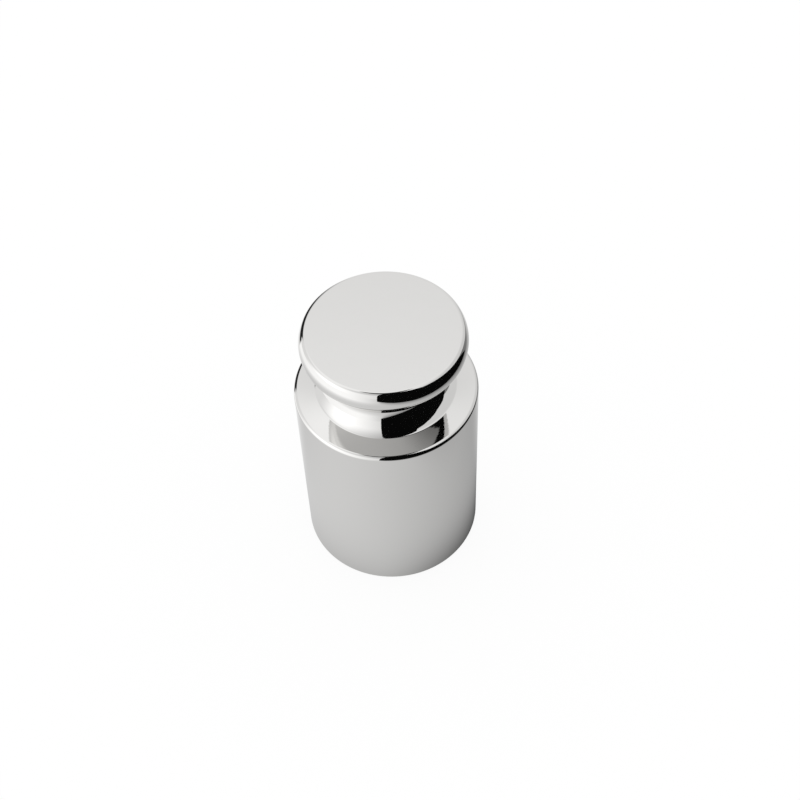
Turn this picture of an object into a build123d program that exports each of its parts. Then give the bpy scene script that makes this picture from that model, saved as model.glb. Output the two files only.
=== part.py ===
"""Knob weight for checking a balance: 5 g of stainless steel, turned from one bar and polished.

Millimetres, +Z up. The origin is the centre of the flat base, on the surface that the weight stands on.
The whole weight is one section turned about Z, so it is one solid with no seam.
"""

import os
from math import atan2, cos, degrees, radians, sin, sqrt

from build123d import *

# Body: the plain cylinder that carries most of the mass.
body_diameter = 8.24
body_height = 9.83
base_edge_radius = 0.20
shoulder_edge_radius = 0.19

# Shoulder: a shallow hollow cone that rises to the neck, a little steeper at its foot.
shoulder_edge_slope = 8.3
shoulder_foot_slope = 12.3

# Neck: the waist under the knob, where a fork or tweezers hold the weight.
neck_diameter = 5.00
neck_height = 2.45  # from the edge of the shoulder up to the lowest point of the lip
neck_lower_radius = 1.42
neck_upper_radius = 0.36
neck_root_radius = 0.25
neck_root_angle = 54.0  # how far the neck flares before the small root turns it into the shoulder

# Knob: a flat-topped disc with a bulging rim, a tighter lip and a coned underside.
knob_diameter = 7.32
knob_rim_radius = 0.93
knob_rim_drop = 0.59  # from the top face down to the widest circle of the rim
knob_edge_radius = 0.20
lip_radius = 0.51
lip_angle = 17.5  # how far below the widest circle the rim tightens into the lip
underside_angle = 66.0  # how far round the lip runs before the straight underside

STEEL_DENSITY = 7.95e-3  # g per cubic millimetre


def facing(angle):
    """Unit vector (r, z) at an elevation in degrees: the way that a point of the section faces."""
    return Vector(cos(radians(angle)), sin(radians(angle)))


def bulge(centre, radius, start, end):
    """A convex arc, from the point that faces start to the point that faces end."""
    ThreePointArc(*[centre + facing(a) * radius for a in (start, (start + end) / 2, end)])


def hollow(centre, radius, start, end):
    """A concave arc, from the point that faces start to the point that faces end."""
    ThreePointArc(*[centre - facing(a) * radius for a in (start, (start + end) / 2, end)])


# Body and shoulder, from the base up to where the shoulder meets the root of the neck.
body_radius = body_diameter / 2
base_centre = Vector(body_radius - base_edge_radius, base_edge_radius)
shoulder_centre = Vector(body_radius - shoulder_edge_radius, body_height - shoulder_edge_radius)
edge_facing = 90 - shoulder_edge_slope
foot_facing = 90 - shoulder_foot_slope
shoulder_start = shoulder_centre + facing(edge_facing) * shoulder_edge_radius
neck_radius = neck_diameter / 2
flare = neck_lower_radius * (1 - cos(radians(neck_root_angle)))
root_width = neck_root_radius * (cos(radians(neck_root_angle)) - cos(radians(foot_facing)))
foot_radius = neck_radius + flare + root_width
shoulder_arc_radius = (shoulder_start.X - foot_radius) / (cos(radians(foot_facing)) - cos(radians(edge_facing)))
shoulder_arc_centre = shoulder_start + facing(edge_facing) * shoulder_arc_radius
shoulder_end = shoulder_arc_centre - facing(foot_facing) * shoulder_arc_radius

# Neck, from its root up to the underside of the knob.
root_centre = shoulder_end + facing(foot_facing) * neck_root_radius
root_end = root_centre - facing(neck_root_angle) * neck_root_radius
lower_centre = root_end + facing(neck_root_angle) * neck_lower_radius

# Knob, from the lip up to the top face.
rim_r = knob_diameter / 2 - knob_rim_radius
lip_reach = knob_rim_radius - lip_radius
lip_z = body_height + neck_height + lip_radius * sin(radians(underside_angle))
rim_z = lip_z + lip_reach * sin(radians(lip_angle))
rim_centre = Vector(rim_r, rim_z)
lip_centre = rim_centre + facing(-lip_angle) * lip_reach
lip_end = lip_centre + facing(-underside_angle) * lip_radius
top_z = rim_z + knob_rim_drop
edge_rise = knob_rim_drop - knob_edge_radius
edge_reach = sqrt((knob_rim_radius - knob_edge_radius) ** 2 - edge_rise**2)
edge_angle = degrees(atan2(edge_rise, edge_reach))
knob_edge_centre = rim_centre + Vector(edge_reach, edge_rise)

# The straight underside falls from the lip to the neck's upper arc.
upper_r = neck_radius + neck_upper_radius
underside_end_r = upper_r - neck_upper_radius * cos(radians(underside_angle))
underside_fall = (lip_end.X - underside_end_r) / sin(radians(underside_angle)) * cos(radians(underside_angle))
underside_end = Vector(underside_end_r, lip_end.Y - underside_fall)
upper_centre = underside_end + facing(-underside_angle) * neck_upper_radius

with BuildPart() as weight:
    with BuildSketch(Plane.XZ):
        with BuildLine():
            Line((0, 0), (base_centre.X, 0))
            bulge(base_centre, base_edge_radius, -90, 0)
            Line((body_radius, base_centre.Y), (body_radius, shoulder_centre.Y))
            bulge(shoulder_centre, shoulder_edge_radius, 0, edge_facing)
            hollow(shoulder_arc_centre, shoulder_arc_radius, edge_facing, foot_facing)
            hollow(root_centre, neck_root_radius, foot_facing, neck_root_angle)
            hollow(lower_centre, neck_lower_radius, neck_root_angle, 0)
            Line((neck_radius, lower_centre.Y), (neck_radius, upper_centre.Y))
            hollow(upper_centre, neck_upper_radius, 0, -underside_angle)
            Line(underside_end, lip_end)
            bulge(lip_centre, lip_radius, -underside_angle, -lip_angle)
            bulge(rim_centre, knob_rim_radius, -lip_angle, edge_angle)
            bulge(knob_edge_centre, knob_edge_radius, edge_angle, 90)
            Line((knob_edge_centre.X, top_z), (0, top_z))
            Line((0, top_z), (0, 0))
        make_face()
    revolve(axis=Axis.Z)

weight.part.label = "weight"
os.makedirs("parts", exist_ok=True)
export_step(weight.part, "parts/weight.step")
print(f"volume {weight.part.volume:.2f} mm3, mass {weight.part.volume * STEEL_DENSITY:.3f} g, height {top_z:.2f} mm")
print(f"waist from {lower_centre.Y:.3f} to {upper_centre.Y:.3f}, foot of the neck {2 * foot_radius:.3f} across")
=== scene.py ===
"""Calibration weight, 5 g: polished steel on a white table, in soft studio light.

Lengths are in millimetres until they reach Blender, which works in metres.
Azimuths are in degrees round the weight, from 0 at the camera's side and positive to the camera's left.
"""

from math import atan2, cos, degrees, pi, radians, sin, sqrt, tan

import bpy
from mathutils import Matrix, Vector


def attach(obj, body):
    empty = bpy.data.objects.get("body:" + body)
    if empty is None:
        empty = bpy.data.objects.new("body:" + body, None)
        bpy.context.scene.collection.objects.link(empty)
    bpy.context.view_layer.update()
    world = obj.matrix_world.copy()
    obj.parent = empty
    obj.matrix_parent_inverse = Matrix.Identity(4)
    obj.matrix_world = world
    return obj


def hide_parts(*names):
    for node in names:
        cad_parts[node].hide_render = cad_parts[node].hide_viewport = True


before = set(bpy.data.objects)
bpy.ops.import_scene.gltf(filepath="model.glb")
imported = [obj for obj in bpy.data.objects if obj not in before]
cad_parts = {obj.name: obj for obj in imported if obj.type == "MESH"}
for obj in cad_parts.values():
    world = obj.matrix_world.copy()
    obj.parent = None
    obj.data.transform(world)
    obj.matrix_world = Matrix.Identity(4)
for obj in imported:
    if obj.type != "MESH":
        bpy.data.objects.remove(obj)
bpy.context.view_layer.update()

MM = 0.001

# ---------------------------------------------------------------- sizes of the weight, as in the CAD part

BODY_DIAMETER = 8.24
BODY_HEIGHT = 9.83
BASE_EDGE_RADIUS = 0.20
SHOULDER_EDGE_RADIUS = 0.19
SHOULDER_EDGE_SLOPE = 8.3
SHOULDER_FOOT_SLOPE = 12.3
NECK_DIAMETER = 5.00
NECK_HEIGHT = 2.45
NECK_LOWER_RADIUS = 1.42
NECK_UPPER_RADIUS = 0.36
NECK_ROOT_RADIUS = 0.25
NECK_ROOT_ANGLE = 54.0
KNOB_DIAMETER = 7.32
KNOB_RIM_RADIUS = 0.93
KNOB_RIM_DROP = 0.59
KNOB_EDGE_RADIUS = 0.20
LIP_RADIUS = 0.51
LIP_ANGLE = 17.5
UNDERSIDE_ANGLE = 66.0


# ---------------------------------------------------------------- turned section


def facing(angle):
    """Unit vector (r, z) at an elevation in degrees: the way that a point of the section faces."""
    return Vector((cos(radians(angle)), sin(radians(angle))))


def arc(centre, radius, start, end, steps, side=1):
    """Points of the section with the way they face. side is 1 for a convex arc and -1 for a hollow one."""
    facings = [facing(start + (end - start) * i / steps) for i in range(steps + 1)]
    return [(centre + n * radius * side, n) for n in facings]


def straight(start, end, angle):
    return [(Vector(start), facing(angle)), (Vector(end), facing(angle))]


def section():
    """The runs of the section, from the middle of the base round to the middle of the top."""
    body_radius = BODY_DIAMETER / 2
    neck_radius = NECK_DIAMETER / 2
    base = Vector((body_radius - BASE_EDGE_RADIUS, BASE_EDGE_RADIUS))
    edge = Vector((body_radius - SHOULDER_EDGE_RADIUS, BODY_HEIGHT - SHOULDER_EDGE_RADIUS))
    edge_facing = 90 - SHOULDER_EDGE_SLOPE
    foot_facing = 90 - SHOULDER_FOOT_SLOPE
    shoulder_start = edge + facing(edge_facing) * SHOULDER_EDGE_RADIUS
    flare = NECK_LOWER_RADIUS * (1 - cos(radians(NECK_ROOT_ANGLE)))
    root_width = NECK_ROOT_RADIUS * (facing(NECK_ROOT_ANGLE).x - facing(foot_facing).x)
    reach = shoulder_start.x - neck_radius - flare - root_width
    shoulder_radius = reach / (facing(foot_facing).x - facing(edge_facing).x)
    shoulder = shoulder_start + facing(edge_facing) * shoulder_radius
    root = shoulder - facing(foot_facing) * (shoulder_radius - NECK_ROOT_RADIUS)
    lower = root + facing(NECK_ROOT_ANGLE) * (NECK_LOWER_RADIUS - NECK_ROOT_RADIUS)

    lip_reach = KNOB_RIM_RADIUS - LIP_RADIUS
    lip_z = BODY_HEIGHT + NECK_HEIGHT + LIP_RADIUS * sin(radians(UNDERSIDE_ANGLE))
    rim = Vector((KNOB_DIAMETER / 2 - KNOB_RIM_RADIUS, lip_z + lip_reach * sin(radians(LIP_ANGLE))))
    lip = rim + facing(-LIP_ANGLE) * lip_reach
    lip_end = lip + facing(-UNDERSIDE_ANGLE) * LIP_RADIUS
    top = rim.y + KNOB_RIM_DROP
    edge_rise = KNOB_RIM_DROP - KNOB_EDGE_RADIUS
    edge_reach = sqrt((KNOB_RIM_RADIUS - KNOB_EDGE_RADIUS) ** 2 - edge_rise**2)
    knob_edge = rim + Vector((edge_reach, edge_rise))
    edge_angle = degrees(atan2(edge_rise, edge_reach))
    under_r = neck_radius + NECK_UPPER_RADIUS * (1 - cos(radians(UNDERSIDE_ANGLE)))
    under_end = Vector((under_r, lip_end.y - (lip_end.x - under_r) / tan(radians(UNDERSIDE_ANGLE))))
    upper = under_end + facing(-UNDERSIDE_ANGLE) * NECK_UPPER_RADIUS

    return [
        straight((0, 0), (base.x, 0), -90),
        arc(base, BASE_EDGE_RADIUS, -90, 0, 10),
        straight((body_radius, base.y), (body_radius, edge.y), 0),
        arc(edge, SHOULDER_EDGE_RADIUS, 0, edge_facing, 14),
        arc(shoulder, shoulder_radius, edge_facing, foot_facing, 8, -1),
        arc(root, NECK_ROOT_RADIUS, foot_facing, NECK_ROOT_ANGLE, 10, -1),
        arc(lower, NECK_LOWER_RADIUS, NECK_ROOT_ANGLE, 0, 24, -1),
        straight((neck_radius, lower.y), (neck_radius, upper.y), 0),
        arc(upper, NECK_UPPER_RADIUS, 0, -UNDERSIDE_ANGLE, 14, -1),
        straight(under_end, lip_end, -UNDERSIDE_ANGLE),
        arc(lip, LIP_RADIUS, -UNDERSIDE_ANGLE, -LIP_ANGLE, 14),
        arc(rim, KNOB_RIM_RADIUS, -LIP_ANGLE, edge_angle, 26),
        arc(knob_edge, KNOB_EDGE_RADIUS, edge_angle, 90, 10),
        straight((knob_edge.x, top), (0, top), 90),
    ]


def revolve(name, runs, segments):
    """A mesh turned about Z, with its normals taken from the section so that reflections stay true."""
    around = [(cos(2 * pi * i / segments), sin(2 * pi * i / segments)) for i in range(segments)]
    rows = [runs[0][0][0]]
    spans = []
    for run in runs:
        for (_, n), (q, m) in zip(run, run[1:]):
            rows.append(q)
            spans.append((n, m))
    vertices = []
    first = []
    for p in rows:
        first.append(len(vertices))
        ring = around if p.x > 1e-9 else [(0, 0)]
        vertices += [(p.x * c * MM, p.x * s * MM, p.y * MM) for c, s in ring]
    faces = []
    normals = []
    for k, (n, m) in enumerate(spans):
        low, high = first[k], first[k + 1]
        for i in range(segments):
            j = (i + 1) % segments
            if rows[k].x < 1e-9:
                corners = [(low, n, i), (high + j, m, j), (high + i, m, i)]
            elif rows[k + 1].x < 1e-9:
                corners = [(low + i, n, i), (low + j, n, j), (high, m, i)]
            else:
                corners = [(low + i, n, i), (low + j, n, j), (high + j, m, j), (high + i, m, i)]
            faces.append([vertex for vertex, _, _ in corners])
            normals += [(v.x * around[at][0], v.x * around[at][1], v.y) for _, v, at in corners]
    mesh = bpy.data.meshes.new(name)
    mesh.from_pydata(vertices, [], faces)
    mesh.polygons.foreach_set("use_smooth", [True] * len(faces))
    mesh.normals_split_custom_set(normals)
    made = bpy.data.objects.new(name, mesh)
    bpy.context.collection.objects.link(made)
    return made


# ---------------------------------------------------------------- node helpers


class Value:
    """A number in a node tree. Arithmetic on it adds Math nodes."""

    def __init__(self, tree, socket):
        self.tree = tree
        self.socket = socket

    def put(self, socket):
        self.tree.links.new(self.socket, socket)

    def math(self, operation, *inputs):
        node = self.tree.nodes.new("ShaderNodeMath")
        node.operation = operation
        for socket, value in zip(node.inputs, inputs):
            if isinstance(value, Value):
                value.put(socket)
            else:
                socket.default_value = value
        return Value(self.tree, node.outputs[0])

    def __add__(self, other):
        return self.math("ADD", self, other)

    def __mul__(self, other):
        return self.math("MULTIPLY", self, other)

    def __truediv__(self, other):
        return self.math("DIVIDE", self, other)

    def __rsub__(self, other):
        return self.math("SUBTRACT", other, self)

    __radd__ = __add__
    __rmul__ = __mul__

    def step(self, low, high):
        """0 below low, 1 above high and a smooth change between them."""
        node = self.tree.nodes.new("ShaderNodeMapRange")
        node.interpolation_type = "SMOOTHSTEP"
        self.put(node.inputs["Value"])
        node.inputs["From Min"].default_value = low
        node.inputs["From Max"].default_value = high
        return Value(self.tree, node.outputs["Result"])

    def fade(self, start, length):
        """1 up to start, then falling off by a factor of e over each length."""
        past = self.math("MAXIMUM", self + (-start), 0.0)
        return self.math("EXPONENT", past * (-1 / length))


def node_tree(owner):
    owner.use_nodes = True
    owner.node_tree.nodes.clear()
    return owner.node_tree


def split(tree, output):
    """The three parts of a Texture Coordinate output."""
    where = tree.nodes.new("ShaderNodeTexCoord")
    parts = tree.nodes.new("ShaderNodeSeparateXYZ")
    tree.links.new(where.outputs[output], parts.inputs[0])
    return [Value(tree, socket) for socket in parts.outputs]


def noise(tree, where, detail):
    """Noise from 0 to 1 at a point given by its three coordinates. Its features are about 1 apart."""
    join = tree.nodes.new("ShaderNodeCombineXYZ")
    for value, socket in zip(where, join.inputs):
        value.put(socket)
    texture = tree.nodes.new("ShaderNodeTexNoise")
    texture.inputs["Scale"].default_value = 1.0
    texture.inputs["Detail"].default_value = detail
    tree.links.new(join.outputs[0], texture.inputs["Vector"])
    return Value(tree, texture.outputs[0])


def for_mirrors(tree, seen, mirrored, output):
    """Shows one shader to the camera and another to rays that leave polished metal."""
    path = tree.nodes.new("ShaderNodeLightPath")
    pick = tree.nodes.new("ShaderNodeMixShader")
    tree.links.new(path.outputs["Is Glossy Ray"], pick.inputs[0])
    tree.links.new(seen.outputs[0], pick.inputs[1])
    tree.links.new(mirrored.outputs[0], pick.inputs[2])
    tree.links.new(pick.outputs[0], tree.nodes.new(output).inputs["Surface"])


# ---------------------------------------------------------------- polished steel


def polished_steel():
    """A mirror finish that keeps faint turning rings, hairlines from wiping and a few hazy patches."""
    material = bpy.data.materials.new("polished steel")
    tree = node_tree(material)
    x, y, z = [part / MM for part in split(tree, "Object")]
    radius = x.math("SQRT", x * x + y * y)
    rings = noise(tree, (radius * 15.0, z * 15.0, x / radius * 0.8), 3.0)
    hairlines = noise(tree, (x + z * 1.5, y * 42.0 + x * 14.0, z * 42.0 + x * 9.0), 1.0).step(0.62, 0.8)
    waves = noise(tree, (x * 1.1, y * 1.1, z * 1.1), 1.0)
    haze = noise(tree, (x * 0.55, y * 0.55, z * 0.55), 5.0).step(0.42, 0.72)

    bump = tree.nodes.new("ShaderNodeBump")
    bump.inputs["Strength"].default_value = 1.0
    bump.inputs["Distance"].default_value = 0.0005 * MM
    height = rings * 0.8 + hairlines * -0.12 + waves * 4.0
    height.put(bump.inputs["Height"])
    steel = tree.nodes.new("ShaderNodeBsdfPrincipled")
    steel.inputs["Metallic"].default_value = 1.0
    steel.inputs["Base Color"].default_value = (0.66, 0.655, 0.645, 1.0)
    roughness = haze * 0.02 + hairlines * 0.03 + rings * 0.012 + 0.012
    roughness.put(steel.inputs["Roughness"])
    tree.links.new(bump.outputs["Normal"], steel.inputs["Normal"])
    tree.links.new(steel.outputs[0], tree.nodes.new("ShaderNodeOutputMaterial").inputs["Surface"])
    return material


weight = revolve("calibration_weight", section(), 360)
weight.data.materials.append(polished_steel())
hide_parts("weight")
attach(weight, "root")


# ---------------------------------------------------------------- black card that edges the steel

CARD_AZIMUTH = -59.0
CARD_DISTANCE = 17.7
SOFTBOX_START = 10.7
SOFTBOX_END = (62.0, 116.0)


def towards(azimuth):
    """Level unit vector that points away from the weight at an azimuth in degrees."""
    return Vector((-sin(radians(azimuth)), -cos(radians(azimuth)), 0))


def black_card(name, uprights):
    """A card that only the steel sees. uprights lists (place on the table, lower edge, upper edge) along it."""
    vertices = []
    for place, low, high in uprights:
        vertices += [(place + Vector((0, 0, low))) * MM, (place + Vector((0, 0, high))) * MM]
    faces = [(2 * i, 2 * i + 2, 2 * i + 3, 2 * i + 1) for i in range(len(uprights) - 1)]
    mesh = bpy.data.meshes.new(name)
    mesh.from_pydata(vertices, [], faces)
    card = bpy.data.objects.new(name, mesh)
    bpy.context.collection.objects.link(card)
    material = bpy.data.materials.new(name)
    tree = node_tree(material)
    black = tree.nodes.new("ShaderNodeEmission")
    black.inputs["Color"].default_value = (0.003, 0.003, 0.003, 1)
    tree.links.new(black.outputs[0], tree.nodes.new("ShaderNodeOutputMaterial").inputs["Surface"])
    mesh.materials.append(material)
    card.visible_camera = False
    card.visible_diffuse = False
    card.visible_shadow = False
    card.visible_transmission = False


# The large card stands at the camera's right. Its upper edge rises to the left, where the softbox begins.
along = towards(CARD_AZIMUTH + 90)
left_end = CARD_DISTANCE * tan(radians(SOFTBOX_START - CARD_AZIMUTH))
upper_edge = [
    (-23.0, 0.0),
    (-15.5, 8.3),
    (-10.3, 12.5),
    (-5.2, 15.1),
    (0.0, 19.7),
    (5.2, 25.0),
    (14.8, 240.0),
    (left_end, 240.0),
]
black_card("side_card", [(towards(CARD_AZIMUTH) * CARD_DISTANCE + along * s, 0, z) for s, z in upper_edge])


# ---------------------------------------------------------------- white table


def past_card(x, y, azimuth, distance):
    """How far a point of the table is in front of a card."""
    return distance - (x * (-sin(radians(azimuth))) + y * (-cos(radians(azimuth))))


def dark_corner(left, front, up):
    """How much of the unlit corner of the room, at the back left and low down, lies in a direction."""
    inside = 1.0 - (left * 0.585 + front * 0.811 + up * 0.33).step(-0.02, 0.02)
    return inside * left.step(0.1, 0.42) * 0.98


def white_table():
    """White to the camera, with the weight's faint shadow. In the steel it shows painted light and shade:
    brighter to the left, the front and behind, a painted pool of light from the softbox, painted shadows of the
    weight at its base and to its right, and painted shade by the card and towards the corner.
    """
    half = 600 * MM
    mesh = bpy.data.meshes.new("table")
    mesh.from_pydata([(-half, -half, 0), (half, -half, 0), (half, half, 0), (-half, half, 0)], [], [(0, 1, 2, 3)])
    table = bpy.data.objects.new("table", mesh)
    table.location.z = -0.01 * MM
    bpy.context.collection.objects.link(table)

    material = bpy.data.materials.new("white table")
    mesh.materials.append(material)
    tree = node_tree(material)
    x, y, _ = [part / MM for part in split(tree, "Object")]
    distance = x.math("SQRT", x * x + y * y)
    left = x * -1.0 / distance
    front = y * -1.0 / distance
    # Painted light: in the steel the table glows brighter to the left and the front.
    light = left * 0.14 + front * 0.19 + left * left * 0.07 + 0.605
    # Painted light: brighter behind the weight.
    light = light + (front * -1.0).step(0.22, 1.81) * 1.17
    # Painted pool of light from the softbox, on the table far out to the left.
    light = light + distance.step(9.8, 35.8) * left.step(-0.1, 0.8) * 0.58
    # Painted shadow: darker close round the weight's base.
    light = light * (1.0 - distance.fade(4.12, 1.0) * 0.25)
    # Painted shadow of the weight, as cast by the softbox onto the table at its right.
    light = light * (1.0 - (left * -1.0).step(-0.27, 1.0) * distance.fade(4.12, 0.9) * 0.77)
    # Painted shade on the table in front of the card, where the card would block the light.
    painted_card_shade = (1.0 - past_card(x, y, CARD_AZIMUTH, CARD_DISTANCE).step(-0.5, 9.4)) * (1.0 - left.step(0.1, 0.19))
    light = light * (1.0 - painted_card_shade * 0.5)
    # Painted shade far out on the table towards the unlit corner at the back left.
    light = light * (1.0 - distance.step(22.0, 34.0) * dark_corner(left, front, 0.0))
    mirrored = tree.nodes.new("ShaderNodeEmission")
    light.put(mirrored.inputs["Strength"])

    paper = tree.nodes.new("ShaderNodeBsdfDiffuse")
    paper.inputs["Color"].default_value = (0.9, 0.9, 0.9, 1)
    white = tree.nodes.new("ShaderNodeEmission")
    white.inputs["Strength"].default_value = 1.016
    seen = tree.nodes.new("ShaderNodeMixShader")
    seen.inputs[0].default_value = 0.88
    tree.links.new(paper.outputs[0], seen.inputs[1])
    tree.links.new(white.outputs[0], seen.inputs[2])
    for_mirrors(tree, seen, mirrored, "ShaderNodeOutputMaterial")


white_table()


# ---------------------------------------------------------------- studio light


def studio_light():
    """White all round. In the steel, a softbox at the left is brighter than the walls, and a corner and an opening overhead are dark."""
    world = bpy.data.worlds.new("studio")
    bpy.context.scene.world = world
    tree = node_tree(world)
    x, y, up = split(tree, "Generated")
    left = x * -1.0
    front = y * -1.0
    azimuth = x.math("ARCTAN2", left, front) * degrees(1.0)
    walls = up.step(0.66, 0.86) * left.step(-0.3, 0.35) * 0.165 + up.step(0.7, 0.87) * 0.1 + 1.0
    walls = walls + x.step(0.2, 0.75) * -0.15
    softbox = (azimuth + -10.8) * 0.012 + 1.03
    softbox = softbox * (1.0 - up.step(0.4, 0.95) * 0.42)
    inside = azimuth.step(SOFTBOX_START - 0.7, SOFTBOX_START + 0.7) * (1.0 - azimuth.step(*SOFTBOX_END))
    light = walls * (1.0 - inside) + softbox * inside
    light = light * (1.0 - up.step(0.971, 0.983)) + 0.03
    light = light * (1.0 - dark_corner(left, front, up) * (1.0 - up.step(0.6, 0.66)))
    mirrored = tree.nodes.new("ShaderNodeBackground")
    mirrored.inputs["Color"].default_value = (1, 1, 1, 1)
    light.put(mirrored.inputs["Strength"])
    plain = tree.nodes.new("ShaderNodeBackground")
    plain.inputs["Color"].default_value = (1, 1, 1, 1)
    for_mirrors(tree, plain, mirrored, "ShaderNodeOutputWorld")


studio_light()


# ---------------------------------------------------------------- camera

CAMERA_PLACE = Vector((0, -38.868, 58.12))
CAMERA_TURNS = (38.113, 1.629, -2.944)

camera = bpy.data.objects.new("camera", bpy.data.cameras.new("camera"))
bpy.context.collection.objects.link(camera)
camera.data.sensor_width = 36
camera.data.lens = 62.68
camera.data.clip_start = 1 * MM
camera.data.clip_end = 10
camera.location = CAMERA_PLACE * MM
camera.rotation_euler = [radians(turn) for turn in CAMERA_TURNS]
bpy.context.scene.camera = camera
bpy.context.scene.view_settings.view_transform = "Standard"
